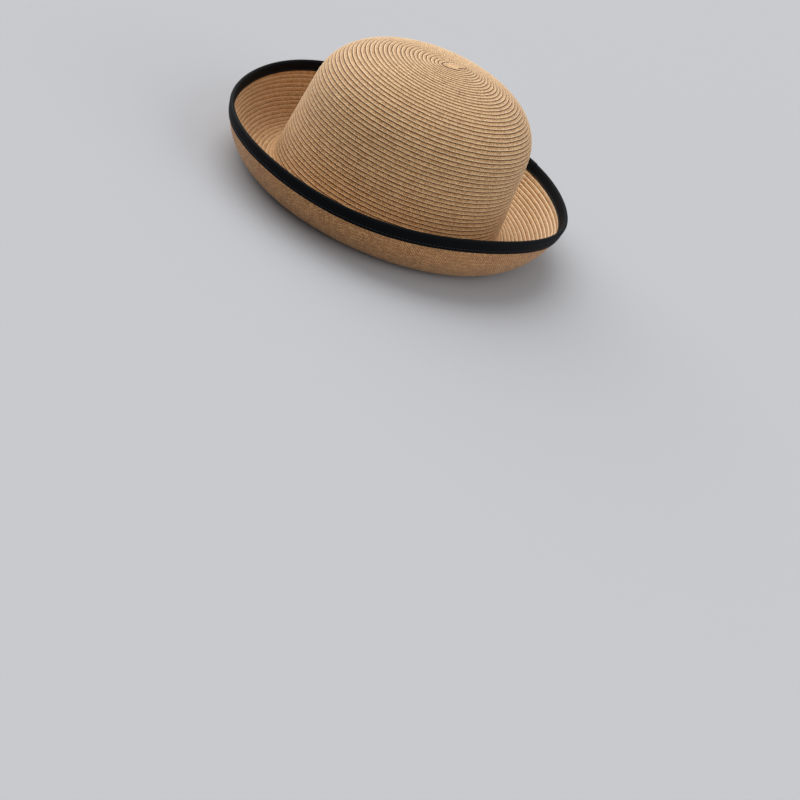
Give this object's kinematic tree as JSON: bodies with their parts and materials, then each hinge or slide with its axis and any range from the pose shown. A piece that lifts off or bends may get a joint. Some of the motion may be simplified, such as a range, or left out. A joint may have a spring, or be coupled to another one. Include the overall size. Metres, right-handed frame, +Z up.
{
  "type": "bowler hat",
  "caption": "Straw-braid bowler hat with a domed crown, a brim rolled up all round, a black ribbon-bound edge, and a ribbon sweatband with sewn-in labels.",
  "frame": {"origin": "middle of the flat ring under the brim that the hat stands on, under the middle of the crown", "axes": "+Z up through the crown, -Y to the front of the hat, +Y to the back where the sweatband's bow is, X across the head"},
  "size_m": [0.2574, 0.3044, 0.119],
  "materials": {
    "straw_braid": "sewn paper-straw braid, tan, matt with a faint sheen",
    "binding_ribbon": "black ribbon, soft sheen",
    "grosgrain": "black ribbed ribbon, matt",
    "black_thread": "black sewing thread",
    "label_satin": "blank off-white woven satin",
    "wire_steel": "drawn steel wire",
    "joiner_brass": "thin brass tube"
  },
  "bodies": {
    "hat": {"crown_tip": "straw_braid", "side_crown": "straw_braid", "brim_flat": "straw_braid", "brim_curl": "straw_braid", "edge_wire": "wire_steel", "wire_joiner": "joiner_brass", "edge_binding": "binding_ribbon", "binding_needle_thread": "black_thread", "binding_bobbin_thread": "black_thread", "sweatband": "grosgrain", "sweatband_thread": "black_thread", "maker_label": "label_satin", "bow_loops": "grosgrain", "bow_knot": "grosgrain", "care_label_tack": "black_thread", "size_label_tack": "black_thread"},
    "care_flap": {"care_label": "label_satin"},
    "size_flap": {"size_label": "label_satin"}
  },
  "joints": [
    {"name": "care_label_hinge", "type": "hinge", "parent": "hat", "child": "care_flap", "pos_m": [0.08078, 0, 0.0372], "axis": [0, 1, 0], "range_deg": [-4, 140]},
    {"name": "size_label_hinge", "type": "hinge", "parent": "hat", "child": "size_flap", "pos_m": [-0.08078, 0, 0.0372], "axis": [0, -1, 0], "range_deg": [-4, 140]}
  ]
}
